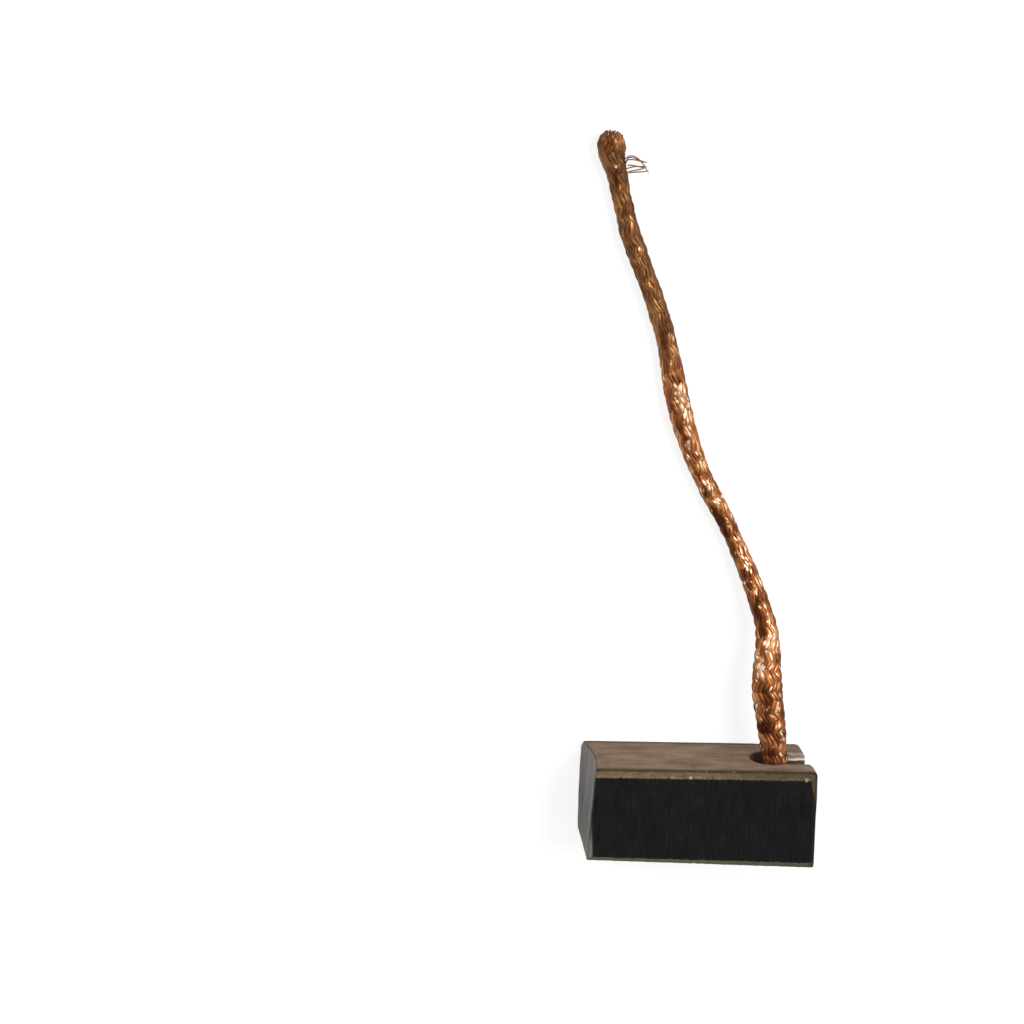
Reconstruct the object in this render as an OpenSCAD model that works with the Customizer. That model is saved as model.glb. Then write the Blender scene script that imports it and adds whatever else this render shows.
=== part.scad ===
// Carbon brush with a braided copper pigtail.
// The block lies on one of its two large faces. X runs from the worn contact
// end to the rear end, Y towards the side that the pigtail leaves, and Z is up.
// The origin is under the middle of the block, on the surface that it lies on.

/* [Block] */
// Length of the block, from the contact end to the rear end
block_l = 23; // [18:0.5:40]
// Width of the block, along the pigtail hole
block_w = 10; // [8:0.5:16]
// Thickness of the block, its height as it lies
block_t = 10; // [8:0.5:16]
// Bevel along the four long edges
edge_bevel = 0.6; // [0.2:0.1:1.2]
// Radius of the two upright corners at the rear end
rear_r = 0.8; // [0.3:0.1:1.5]
// Radius of the commutator that wore the contact end hollow
wear_r = 45; // [20:1:120]

/* [Pigtail hole] */
// Diameter of the hole that takes the pigtail
hole_d = 4.1; // [3.9:0.1:5.5]
// Distance from the axis of the hole to the rear end
hole_setback = 4.3; // [3.5:0.1:9]
// Carbon left between the tip of the hole and the far side
hole_floor = 2.2; // [1:0.1:3]
// Angle of the drill point at the tip of the hole
drill_angle = 118; // [90:1:140]

/* [Slot] */
// Width of the slot that runs from the hole to the rear end
slot_w = 3.4; // [2:0.1:3.8]
// Depth of the slot at its round bottom
slot_depth = 2.4; // [1:0.1:3]

/* [Pigtail] */
// Diameter of the braided pigtail
cord_d = 2.4; // [1.6:0.1:2.5]
// Distance that the pigtail sits off the axis of the hole, towards the slot
cord_lean = 0.6; // [0:0.1:0.6]

/* [Tamped powder] */
// Drop from the bottom of the slot to the surface of the powder
powder_drop = 0.4; // [0.2:0.1:1]
// Powder packed between the root of the pigtail and the drill point
root_cover = 0.5; // [0.3:0.1:1]

/* [Hidden] */

// How far a cutting tool reaches past the face that it cuts
overcut = 1;
// Facets of a full circle in previews
round_fn = 96;

// The hole
hole_r = hole_d / 2;
hole_x = block_l / 2 - hole_setback;
mouth_y = block_w / 2;
mid_z = block_t / 2;
tip_y = -block_w / 2 + hole_floor;
tip_h = hole_r / tan(drill_angle / 2);
hole_foot_y = tip_y + tip_h;

// The contact end: its two lips stay at the full length of the block
wear_x = -block_l / 2 - sqrt(wear_r * wear_r - mid_z * mid_z);

// The powder and the root of the pigtail in it
powder_y = mouth_y - slot_depth - powder_drop;
root_y = hole_foot_y + root_cover;
cord_x = hole_x + cord_lean;

// The pigtail is an eight-sided tube whose flats are a diameter apart
cord_sides = 8;
cord_r = cord_d / 2;
cord_corner_r = cord_r / cos(180 / cord_sides);
// Sections between two neighbouring points of its route
cord_steps = 2;
// Route after the mouth of the hole: distance along X and Y from the mouth,
// and height as a share of the mouth's own, with 0 for lying on the surface
cord_route = [
    [0, 1.5, 1], [-0.6, 3.7, 1], [-1.2, 6.4, 0.94], [-1.4, 9, 0.82], [-1.4, 11.4, 0.67],
    [-1.7, 13.8, 0.5], [-3.2, 17.9, 0.2], [-4.8, 21.4, 0.04], [-6.4, 24.5, 0], [-8.7, 28.5, 0],
    [-10.2, 31.8, 0], [-11.6, 36, 0], [-12.6, 40, 0], [-13.4, 43.2, 0], [-15, 47.7, 0],
    [-16.8, 51.9, 0], [-18.1, 55.3, 0], [-19.5, 59.8, 0], [-20.3, 62.6, 0], [-20.4, 64.2, 0]
];
cord_points = concat(
    [[cord_x, root_y, mid_z], [cord_x, (root_y + mouth_y) / 2, mid_z], [cord_x, mouth_y, mid_z]],
    [for (p = cord_route) [cord_x + p[0], mouth_y + p[1], cord_r + p[2] * (mid_z - cord_r)]]
);

// A value of a smooth curve through b and c, at the share t of the way
function curve_at(a, b, c, d, t) =
    b + t * (c - a) / 2
    + t * t * (2 * a - 5 * b + 4 * c - d) / 2
    + t * t * t * (3 * b - a - 3 * c + d) / 2;

// A smooth curve through a list of points, with n sections between neighbours
function curve_through(p, n) = concat(
    [for (i = [0 : len(p) - 2]) for (s = [0 : n - 1])
        curve_at(p[max(i - 1, 0)], p[i], p[i + 1], p[min(i + 2, len(p) - 1)], s / n)],
    [p[len(p) - 1]]
);

// The same path with no point of it lower than z
function lifted(path, z) = [for (p = path) [p[0], p[1], max(p[2], z)]];

function unit(v) = v / norm(v);

// Direction of a path at its point i
function heading(path, i) = unit(path[min(i + 1, len(path) - 1)] - path[max(i - 1, 0)]);

// Corners of a regular section that stands square to the path at its point i
function section_at(path, i, r, sides) =
    let (
        across = unit(cross(heading(path, i), [0, 0, 1])),
        upward = cross(across, heading(path, i))
    )
    [for (k = [0 : sides - 1])
        let (a = (k + 0.5) * 360 / sides)
        path[i] + r * (cos(a) * across + sin(a) * upward)];

// A closed tube along a path
module tube(path, r, sides) {
    n = len(path);
    points = [for (i = [0 : n - 1]) each section_at(path, i, r, sides)];
    start_cap = [for (k = [0 : sides - 1]) k];
    end_cap = [for (k = [sides - 1 : -1 : 0]) (n - 1) * sides + k];
    wall = [for (i = [0 : n - 2]) for (k = [0 : sides - 1])
        let (
            a = i * sides + k,
            b = i * sides + (k + 1) % sides
        )
        each [[a, a + sides, b], [b, a + sides, b + sides]]];
    polyhedron(points, concat([start_cap, end_cap], wall), convexity = 8);
}

// Beveled cross-section of the block, across its width and thickness
module block_section() {
    y = block_w / 2;
    b = edge_bevel;
    polygon([
        [b - y, 0], [y - b, 0], [y, b], [y, block_t - b],
        [y - b, block_t], [b - y, block_t], [-y, block_t - b], [-y, b]
    ]);
}

// Plan of the block, with round rear corners and spare length to wear away
module block_plan() {
    corner_x = block_l / 2 - rear_r;
    corner_y = block_w / 2 - rear_r;
    front_x = -block_l / 2 - overcut;
    translate([front_x, -block_w / 2])
        square([corner_x - front_x, block_w]);
    translate([front_x, -corner_y])
        square([block_l / 2 - front_x, 2 * corner_y]);
    for (side = [-1, 1])
        translate([corner_x, side * corner_y])
            circle(r = rear_r, $fn = round_fn);
}

// Space of the drilled hole up to the height y, with its drill point
module drilled_space(y) {
    translate([hole_x, 0, mid_z])
        rotate([-90, 0, 0])
            rotate_extrude($fn = round_fn)
                polygon([[0, tip_y], [hole_r, hole_foot_y], [hole_r, y], [0, y]]);
}

// Round-bottomed slot from the hole out through the rear end
module slot_space() {
    run = hole_setback + overcut;
    bottom_y = mouth_y - slot_depth + slot_w / 2;
    translate([hole_x, bottom_y, mid_z])
        rotate([0, 90, 0])
            cylinder(d = slot_w, h = run, $fn = round_fn);
    translate([hole_x, bottom_y, mid_z - slot_w / 2])
        cube([run, mouth_y + overcut - bottom_y, slot_w]);
}

// Cylinder of the commutator, which hollows the contact end
module wear_space() {
    translate([wear_x, 0, mid_z])
        rotate([90, 0, 0])
            cylinder(r = wear_r, h = block_w + 2 * overcut, center = true, $fn = 4 * round_fn);
}

// Pressed and machined block of copper-bearing carbon
module carbon_block() {
    color([0.14, 0.14, 0.14])
        difference() {
            intersection() {
                translate([-block_l / 2 - overcut, 0, 0])
                    rotate([90, 0, 90])
                        linear_extrude(block_l + 2 * overcut)
                            block_section();
                linear_extrude(block_t)
                    block_plan();
            }
            wear_space();
            drilled_space(mouth_y + overcut);
            slot_space();
        }
}

// Copper powder tamped round the root of the pigtail at the foot of the hole
module tamped_powder() {
    color([0.42, 0.25, 0.16])
        difference() {
            drilled_space(powder_y);
            translate([cord_x, root_y, mid_z])
                rotate([-90, 0, 0])
                    rotate([0, 0, 180 / cord_sides])
                        cylinder(r = cord_corner_r, h = block_w, $fn = cord_sides);
        }
}

// Braided copper pigtail, from its root in the powder to its cut end
module pigtail() {
    color([0.72, 0.45, 0.28])
        tube(lifted(curve_through(cord_points, cord_steps), cord_r), cord_corner_r, cord_sides);
}

carbon_block();
tamped_powder();
pigtail();
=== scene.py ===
import math

import bpy
import numpy as np
from bpy.props import FloatProperty, FloatVectorProperty, IntProperty, PointerProperty
from mathutils import Matrix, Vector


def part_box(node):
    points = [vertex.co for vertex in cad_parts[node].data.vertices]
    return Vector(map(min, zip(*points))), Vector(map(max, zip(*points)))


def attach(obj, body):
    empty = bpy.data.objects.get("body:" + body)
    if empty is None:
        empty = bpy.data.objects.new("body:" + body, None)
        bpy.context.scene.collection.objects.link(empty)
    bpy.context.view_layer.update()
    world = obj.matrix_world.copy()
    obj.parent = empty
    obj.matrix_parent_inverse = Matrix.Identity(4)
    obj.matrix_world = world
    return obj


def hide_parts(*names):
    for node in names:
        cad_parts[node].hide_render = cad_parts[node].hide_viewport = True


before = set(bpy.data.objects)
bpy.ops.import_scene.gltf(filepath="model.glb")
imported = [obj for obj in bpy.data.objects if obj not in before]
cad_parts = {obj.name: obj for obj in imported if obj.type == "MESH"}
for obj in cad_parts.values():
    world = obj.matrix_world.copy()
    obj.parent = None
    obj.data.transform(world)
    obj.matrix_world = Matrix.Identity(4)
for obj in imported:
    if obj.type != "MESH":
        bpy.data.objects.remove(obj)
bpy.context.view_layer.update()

bl_info = {
    "name": "Carbon brush",
    "version": (1, 0, 0),
    "blender": (4, 5, 0),
    "location": "3D View > Sidebar > Carbon brush",
    "description": "Builds a worn carbon brush with its tamped copper root and braided pigtail",
    "category": "Add Mesh",
}

BLOCK_LOW, BLOCK_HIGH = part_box("carbon_block")
MM = 0.001

# The pigtail's route in metres: out of the hole, over the slot's mouth, down to the
# floor and along it to the cut end. These are the points of the solid model's route.
ROUTE = [
    (0.0078, -0.00107, 0.005), (0.0078, 0.001965, 0.005), (0.0078, 0.005, 0.005),
    (0.0078, 0.0065, 0.005), (0.0072, 0.0087, 0.005), (0.0066, 0.0114, 0.004772),
    (0.0064, 0.014, 0.004316), (0.0064, 0.0164, 0.003746), (0.0061, 0.0188, 0.0031),
    (0.0046, 0.0229, 0.00196), (0.003, 0.0264, 0.001352), (0.0014, 0.0295, 0.0012),
    (-0.0009, 0.0335, 0.0012), (-0.0024, 0.0368, 0.0012), (-0.0038, 0.041, 0.0012),
    (-0.0048, 0.045, 0.0012), (-0.0056, 0.0482, 0.0012), (-0.0072, 0.0527, 0.0012),
    (-0.009, 0.0569, 0.0012), (-0.0103, 0.0603, 0.0012), (-0.0117, 0.0648, 0.0012),
    (-0.0125, 0.0676, 0.0012), (-0.0126, 0.0692, 0.0012),
]


# ---- sizes and colours ----

def length(name, description, default, low=0.0, high=0.2):
    """A length property in metres."""
    return FloatProperty(name=name, description=description, default=default, min=low,
                         max=high, unit="LENGTH", subtype="DISTANCE", precision=5)


def tint(name, description, default):
    """A colour property, as 8-bit screen values turned into 0 to 1."""
    return FloatVectorProperty(name=name, description=description, subtype="COLOR_GAMMA",
                               size=3, min=0.0, max=1.0,
                               default=tuple(c / 255 for c in default))


class BrushBlockSizes(bpy.types.PropertyGroup):
    """Sizes of the carbon block."""
    block_length: length("Length", "Worn end's lips to the spring end",
                         BLOCK_HIGH.x - BLOCK_LOW.x)
    block_width: length("Width", "Across the drilled side and the side facing it",
                        BLOCK_HIGH.y - BLOCK_LOW.y)
    block_thickness: length("Thickness", "Between the two pressed faces",
                            BLOCK_HIGH.z - BLOCK_LOW.z)
    bevel: length("Bevel", "Width of the pressed bevels along the long edges", 0.0006)
    corner_radius: length("Corner radius", "Rounding of the spring end's upright corners",
                          0.0008)
    wear_radius: length("Wear radius", "Radius of the commutator that hollowed the end",
                        0.045, 0.01, 0.5)
    hole_diameter: length("Hole diameter", "Blind hole that holds the pigtail", 0.0041)
    hole_place: length("Hole place", "Hole's axis from the block's middle", 0.0072)
    hole_tip: length("Hole tip", "Drill point's tip from the block's mid plane", 0.0028)
    slot_width: length("Slot width", "Round-bottomed slot from the hole to the end", 0.0034)
    slot_depth: length("Slot depth", "Slot's bottom below the drilled side", 0.0024)
    edge_softness: length("Edge softness", "How far handling has rounded the edges",
                          0.00007)
    chips: IntProperty(name="Chips", description="Small chips along the edges",
                       default=46, min=0, max=200)


class BrushPigtailSizes(bpy.types.PropertyGroup):
    """Sizes of the braided pigtail."""
    diameter: length("Diameter", "Over the braid, where it lies straight", 0.0024)
    lay: length("Lay", "Length in which a bundle goes once round", 0.025, 0.002)
    bundle_width: length("Bundle width", "Across one flat bundle of wires", 0.00072)
    bundle_thickness: length("Bundle thickness", "Through one flat bundle", 0.00034)
    bundles: IntProperty(name="Bundles", description="Bundles wound each way",
                         default=10, min=3, max=16)
    wire: length("Wire", "Diameter of a single loose wire", 0.00012)


class BrushFinishes(bpy.types.PropertyGroup):
    """Colours of the brush."""
    # Side: the copper graphite's brown with a painted sheen of bright surroundings in it
    side: tint("Side", "Ground copper graphite of the sides", (131, 110, 92))
    # Pressed face: near black as painted dark reflection of the surroundings, over the graphite's
    # own dark grey
    pressed: tint("Pressed face", "Black skin left by the press", (21, 21, 21))
    bevel: tint("Bevel", "Rubbed bevels", (108, 90, 66))
    wear: tint("Worn end", "End polished by the commutator", (107, 106, 109))
    wear_top: tint("Worn end, far side", "Its rim towards the drilled side", (131, 121, 113))
    wear_foot: tint("Worn end, near side", "Its foot and the facet beside it", (106, 105, 86))
    # Slot: base colour of the milled wall; the slot's painted shade and painted highlight line
    # are made from it at other strengths
    cut: tint("Slot", "Bright milled wall of the slot", (186, 168, 156))
    # Bore: painted shade, a dark colour laid on the hole's wall where shade falls in the recess
    bore_shade: tint("Bore", "Dark wall of the drilled hole", (96, 70, 60))
    # Pale copper: the colour of the painted highlights, the glints
    copper_pale: tint("Pale copper", "Glints of rubbed wire", (255, 238, 208))
    # Bright copper: the braid's own lighter bundles, with painted light on them too
    copper_bright: tint("Bright copper", "Rubbed crowns of the braid", (220, 152, 94))
    copper_mid: tint("Copper", "The braid in general", (168, 102, 58))
    copper_dark: tint("Dark copper", "Tarnished bundles of the braid", (118, 66, 38))
    # Deep copper: tarnish and painted shade in the braid's valleys
    copper_deep: tint("Deep copper", "Valleys of the braid", (84, 41, 18))
    # Dull bright copper: likewise the braid's lighter tone with painted light
    dull_bright: tint("Dull copper, bright", "Rubbed crowns towards the cut end",
                      (204, 146, 84))
    dull_mid: tint("Dull copper", "The braid towards the cut end", (132, 88, 56))
    dull_dark: tint("Dull copper, dark", "Its tarnished bundles", (106, 63, 34))
    powder: tint("Tamped powder", "Copper powder pressed round the root", (120, 78, 52))


class BrushStageSizes(bpy.types.PropertyGroup):
    """The stage round the brush."""
    floor_size: length("Floor", "Side of the square floor", 1.6, 0.2, 5.0)
    lens: FloatProperty(name="Lens", description="Camera lens on a 36 mm sensor",
                        default=173.15, min=20, max=400, subtype="DISTANCE_CAMERA")
    distance: length("Camera distance", "From the camera to the brush", 0.5, 0.1, 2.0)


# ---- mesh helpers ----

def make_piece(name, points, quads, finish):
    """A smooth-shaded mesh object from points in metres and an array of quads."""
    mesh = bpy.data.meshes.new(name)
    mesh.vertices.add(len(points))
    mesh.vertices.foreach_set("co", np.ascontiguousarray(points, np.float32).ravel())
    mesh.loops.add(quads.size)
    mesh.loops.foreach_set("vertex_index", np.ascontiguousarray(quads, np.int32).ravel())
    mesh.polygons.add(len(quads))
    mesh.polygons.foreach_set("loop_start", np.arange(0, quads.size, 4, dtype=np.int32))
    mesh.polygons.foreach_set("use_smooth", np.ones(len(quads), bool))
    mesh.update(calc_edges=True)
    mesh.materials.append(finish)
    piece = bpy.data.objects.new(name, mesh)
    bpy.context.scene.collection.objects.link(piece)
    return piece


def paint(piece, name, values):
    """Stores one number, or one set of three, per point for the materials to read."""
    values = np.asarray(values, np.float32)
    if values.ndim == 1:
        piece.data.attributes.new(name, "FLOAT", "POINT").data.foreach_set("value", values)
        return
    colour = np.ones((len(values), 4), np.float32)
    colour[:, :3] = values
    layer = piece.data.attributes.new(name, "FLOAT_COLOR", "POINT")
    layer.data.foreach_set("color", colour.ravel())


def ease(t):
    """Smooth step: 3 t squared less 2 t cubed, held between 0 and 1."""
    t = np.clip(t, 0.0, 1.0)
    return t * t * (3 - 2 * t)


def unit(vectors):
    """Vectors along the last axis, each divided by its own length."""
    return vectors / np.linalg.norm(vectors, axis=-1, keepdims=True)


def waves(rng, t, count, longest, shortest):
    """A smooth random line for each of count rows, about -1 to 1: a sum of five sines
    whose wavelengths run from longest to shortest and whose phases are drawn at random."""
    sizes = np.geomspace(longest, shortest, 5)
    phase = rng.uniform(0, 2 * np.pi, (count, 5, 1))
    weight = sizes ** 0.5 / (sizes ** 0.5).sum()
    turn = 2 * np.pi * np.asarray(t)[..., None, :] / sizes[:, None]
    return (np.sin(turn + phase) * weight[:, None] * 1.6).sum(axis=-2)


# ---- materials ----

def linear(colour, scale=1.0):
    """Screen values 0 to 1 as the linear colour a shader wants."""
    c = np.clip(np.array(colour[:3]) * scale, 0, 1)
    return (*np.where(c <= 0.04045, c / 12.92, ((c + 0.055) / 1.055) ** 2.4), 1.0)


class Recipe:
    """The nodes of a new material, or of the world, written as short calls that return
    output sockets."""

    def __init__(self, name, kind="materials"):
        self.owner = getattr(bpy.data, kind).new(name)
        self.owner.use_nodes = True
        self.tree = self.owner.node_tree
        self.shader = self.tree.nodes.get("Principled BSDF")

    def feed(self, socket, value):
        """Links a socket to another one, or sets it to a plain value."""
        if isinstance(value, bpy.types.NodeSocket):
            self.tree.links.new(value, socket)
        else:
            socket.default_value = value

    def add(self, kind, inputs=None, **settings):
        """A new node with its settings made and its inputs fed. Returns its outputs."""
        made = self.tree.nodes.new(kind)
        for key, value in settings.items():
            setattr(made, key, value)
        for key, value in (inputs or {}).items():
            self.feed(made.inputs[key], value)
        return made.outputs

    def place(self, scale=(1, 1, 1), source="Object"):
        where = self.add("ShaderNodeTexCoord")[source]
        return self.add("ShaderNodeMapping", {"Vector": where, "Scale": scale})["Vector"]

    def noise(self, where, scale, detail=3.0, rough=0.55, twist=0.0):
        return self.add("ShaderNodeTexNoise", {
            "Vector": where, "Scale": scale, "Detail": detail, "Roughness": rough,
            "Distortion": twist})["Fac"]

    def read(self, name, output="Fac"):
        """What paint() stored under a name."""
        return self.add("ShaderNodeAttribute", attribute_name=name)[output]

    def parts(self, colour):
        """A colour's three channels."""
        return self.add("ShaderNodeSeparateColor", {0: colour})

    def band(self, value, low, high, out_low=0.0, out_high=1.0):
        """Smooth step from out_low, where the value is low, to out_high."""
        return self.add("ShaderNodeMapRange", {
            "Value": value, "From Min": low, "From Max": high, "To Min": out_low,
            "To Max": out_high}, interpolation_type="SMOOTHSTEP")["Result"]

    def maths(self, operation, a, b):
        return self.add("ShaderNodeMath", {0: a, 1: b}, operation=operation)[0]

    def times(self, a, b):
        return self.maths("MULTIPLY", a, b)

    def plus(self, total, *terms):
        for term in terms:
            total = self.maths("ADD", total, term)
        return total

    def swing(self, field, share):
        """A field of 0 to 1 made to swing about nought, by half the share each way."""
        return self.times(self.maths("SUBTRACT", field, 0.5), share)

    def blend(self, share, a, b):
        """Two colours mixed, through a Mix node's sockets for colours."""
        return self.add("ShaderNodeMix", {0: share, 6: a, 7: b}, data_type="RGBA")[2]

    def coats(self, base, *coats):
        """The base under coats of plain colour. Each is a share to mix in, a colour and,
        where it isn't 1, the colour's strength."""
        for share, *colour in coats:
            base = self.blend(share, base, linear(*colour))
        return base

    def ramp(self, value, *stops):
        """A ramp whose stops are a place, a colour and, where it isn't 1, its strength."""
        made = self.tree.nodes.new("ShaderNodeValToRGB")
        self.feed(made.inputs[0], value)
        line = made.color_ramp.elements
        line[0].position, line[1].position = stops[0][0], stops[-1][0]
        marks = [line[0], *(line.new(stop[0]) for stop in stops[1:-1]), line[-1]]
        for mark, stop in zip(marks, stops):
            mark.color = linear(*stop[1:])
        return made.outputs[0]

    def bump(self, height, strength, distance, **under):
        """A bump, on top of another one where Normal= gives it."""
        return self.add("ShaderNodeBump", {
            "Strength": strength, "Distance": distance, "Height": height, **under})["Normal"]

    def finish(self, colour, roughness, normal, metallic=0.0, gloss=0.5):
        for key, value in {"Base Color": colour, "Roughness": roughness, "Normal": normal,
                           "Metallic": metallic, "Specular IOR Level": gloss}.items():
            self.feed(self.shader.inputs[key], value)
        return self.owner


def side_sheen_and_shade(r, colours, grain, fleck):
    """The brown sides: copper graphite's brown with a painted sheen, drifts of tone, pale flecks,
    and a band of painted shade along each bevel and over the near side.
    """
    drift = r.noise(r.place((260, 620, 620)), 1, 4, 0.6)
    side = r.ramp(r.plus(r.times(grain, 0.4), r.times(drift, 0.6)),
                  (0.36, colours.side, 0.8), (0.5, colours.side), (0.64, colours.side, 1.16))
    # The bevel colour at half strength is painted shade beside each bevel and over the near side
    return r.coats(side, (r.band(fleck, 0.66, 0.78, 0, 0.4), colours.side, 1.3),
                   (r.band(r.read("rise"), -1.2, -0.3, 0, 0.62), colours.bevel, 0.5))


def pressed_skin_dark_reflection(r, colours, here, drawn, fleck):
    """The pressed faces: the graphite skin's dark tone made near black by painted dark
    reflection, with soft clouds and fine pale hairs.
    """
    cloud = r.noise(here, 420, 3, 0.55)
    hair = r.noise(r.place((9000, 260, 900)), 1, 2, 0.5)
    soot = r.plus(r.times(drawn, 0.35), r.times(fleck, 0.65), r.swing(cloud, 0.16))
    black = r.ramp(soot, (0.34, colours.pressed, 0.4), (0.5, colours.pressed, 0.95),
                   (0.66, colours.pressed, 1.8))
    return r.coats(black, (r.band(hair, 0.66, 0.8, 0, 0.6), colours.pressed, 1.9))


def rubbed_edge_shade_glints(r, colours, x, y, grain):
    """The bevels: painted shade where they meet the side, pale specks of painted glint where they
    meet the pressed face, pale at chips, and darker towards the spring end and along its own
    edge."""
    rise = r.read("rise")
    edge = r.ramp(r.noise(r.place((1100, 1100, 3200)), 1, 4, 0.6), (0.3, colours.bevel, 0.82),
                  (0.5, colours.bevel), (0.72, colours.bevel, 1.18))
    painted_speck_glints = r.times(r.band(rise, 0.72, 0.95), r.band(grain, 0.5, 0.68))
    along = r.times(r.band(y, 0.0038, 0.0012, 0.45, 0.9), r.band(y, -0.0048, -0.0043, 0.45))
    # Painted shade low on the bevel, then painted glints as pale specks near the pressed face
    return r.coats(edge, (r.band(rise, 0.42, 0.1, 0, 0.75), colours.bevel, 0.45),
                   (r.times(painted_speck_glints, 0.75), colours.bevel, 1.75),
                   (r.times(r.read("scar"), 0.7), colours.wear_foot, 2.1),
                   (r.band(x, -0.002, 0.008, 0, 0.5), colours.bevel, 0.45),
                   (r.band(y, 0.0, -0.003, 0, 0.75), colours.wear_foot, 0.9),
                   (r.times(r.band(x, 0.0109, 0.0113), along), colours.bevel, 0.2))


def worn_end(r, colours, y):
    """The grey end, paler towards the drilled side, smeared, and dark along its seams."""
    worn = r.ramp(r.band(y, -0.005, 0.005), (0.04, colours.wear_foot),
                  (0.28, colours.wear, 0.95), (0.5, colours.wear), (1.0, colours.wear_top))
    smear = r.noise(r.place((900, 220, 2400)), 1, 3, 0.6)
    return r.coats(worn, (r.band(smear, 0.47, 0.7, 0, 0.7), colours.wear, 1.25),
                   (r.band(smear, 0.5, 0.3, 0, 0.7), colours.wear, 0.78),
                   (r.times(r.read("seam"), 0.7), colours.wear, 0.3))


def slot_wall_painted_light(r, colours, y):
    """The milled wall: painted shade low down, a painted highlight line at its middle, and plain
    at the rim.
    """
    milled = r.noise(r.place((700, 5000, 5000)), 1, 3, 0.6)
    depth = r.plus(y, r.times(milled, 0.0004))
    # Strengths below 1 low down are painted shade; the two above 1 are a painted highlight line
    stops = ((0.3, 0.36), (0.44, 0.45), (0.52, 1.4), (0.6, 1.35), (0.7, 0.84), (0.9, 0.8))
    return r.ramp(r.band(depth, 0.0036, 0.0052),
                  *((place, colours.cut, strength) for place, strength in stops))


def carbon_finish(colours):
    """Copper graphite: every surface of the block, mixed by what mark() painted on it."""
    r = Recipe("carbon")
    here = r.place()
    x, y, _ = r.add("ShaderNodeSeparateXYZ", {0: here})
    grain = r.noise(here, 5200, 4, 0.62)
    fleck = r.noise(here, 9000, 2, 0.5)
    drawn = r.noise(r.place((5200, 320, 700)), 1, 3, 0.6)
    pressed, rim, worn = r.parts(r.read("finish", "Color"))
    cut = r.read("cut")

    colour = r.blend(pressed, side_sheen_and_shade(r, colours, grain, fleck),
                     pressed_skin_dark_reflection(r, colours, here, drawn, fleck))
    # The hole's wall gets the painted shade colour
    colour = r.coats(colour, (r.read("bore_shade"), colours.bore_shade))
    colour = r.blend(cut, colour, slot_wall_painted_light(r, colours, y))
    colour = r.blend(worn, colour, worn_end(r, colours, y))
    ragged = r.plus(rim, r.swing(grain, 0.5))
    colour = r.blend(r.band(ragged, 0.35, 0.62), colour,
                     rubbed_edge_shade_glints(r, colours, x, y, grain))
    polish = r.plus(r.times(worn, 0.5), r.times(cut, 0.5), grain)
    normal = r.bump(drawn, 0.1, 0.00004, Normal=r.bump(grain, 0.3, 0.00005))
    return r.finish(colour, r.band(polish, 0.3, 1.4, 0.75, 0.3), normal, r.times(cut, 0.3),
                    0.08)


def copper_finish(colours):
    """Braided copper: fine wires along each bundle, tarnish and painted shade in the valleys,
    small painted highlights as bright glints, all led by the bundle's own tone. The UV layer
    counts millimetres along the braid and across a strand."""
    r = Recipe("copper_braid")
    glint = r.read("glint")
    wires = r.noise(r.place((0.5, 12, 1), "UV"), 1, 2, 0.5)
    clumps = r.noise(r.place((0.45, 3.6, 1), "UV"), 1, 2, 0.5, 0.3)
    patch = r.noise(r.place(), 650, 3, 0.55)
    spots = r.add("ShaderNodeTexVoronoi", {
        "Vector": r.place((1.3, 2.8, 1), "UV"), "Scale": 1}, voronoi_dimensions="2D")
    chance = r.plus(r.parts(spots["Color"])[0], r.times(r.maths("SUBTRACT", glint, 1.0), 0.6),
                    r.swing(r.noise(r.place(), 380, 1, 0.5), 1.2))
    # Painted highlights: pale glint spots on the braid
    bright = r.times(r.band(spots["Distance"], 0.56, 0.1), r.band(chance, 0.6, 0.74))
    bright = r.maths("MAXIMUM", bright, r.band(glint, 1.85, 2.4))
    tone = r.plus(r.read("tone"), r.swing(wires, 0.22), r.swing(clumps, 0.55),
                  r.swing(patch, 0.55))
    tone = r.plus(r.maths("MINIMUM", tone, 0.8), r.times(bright, 0.7))
    fresh = r.ramp(tone, (0.02, colours.copper_deep), (0.26, colours.copper_dark),
                   (0.5, colours.copper_mid), (0.74, colours.copper_bright),
                   (0.98, colours.copper_pale))
    dull = r.ramp(tone, (0.02, colours.copper_deep), (0.26, colours.dull_dark),
                  (0.5, colours.dull_mid), (0.78, colours.dull_bright),
                  (1.0, colours.copper_pale))
    return r.finish(r.blend(r.read("dull"), fresh, dull), r.band(tone, 0.2, 0.9, 0.6, 0.34),
                    r.bump(wires, 0.35, 0.00006), r.band(tone, 0.8, 1.2, 0.85, 0.35), 0.3)


def powder_finish(colours):
    """Copper powder pressed into the hole: rounded grains of several tones."""
    r = Recipe("tamped_copper")
    here = r.place()
    grains = r.add("ShaderNodeTexVoronoi", {"Vector": here, "Scale": 9000})["Distance"]
    tone = r.noise(here, 4200, 3, 0.6)
    colour = r.ramp(tone, (0.3, colours.powder, 0.55), (0.5, colours.powder),
                    (0.75, colours.powder, 1.45))
    return r.finish(colour, r.band(tone, 0.3, 0.7, 0.7, 0.45), r.bump(grains, 0.8, 0.0001),
                    0.6)


# ---- the carbon block ----

def soft_max(fields, k):
    """The largest of several fields, creases rounded over k: the greatest of them plus k
    times the log of the sum of exp((field - greatest) / k)."""
    top = np.maximum.reduce(fields)
    return top + k * np.log(sum(np.exp((f - top) / k) for f in fields))


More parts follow.
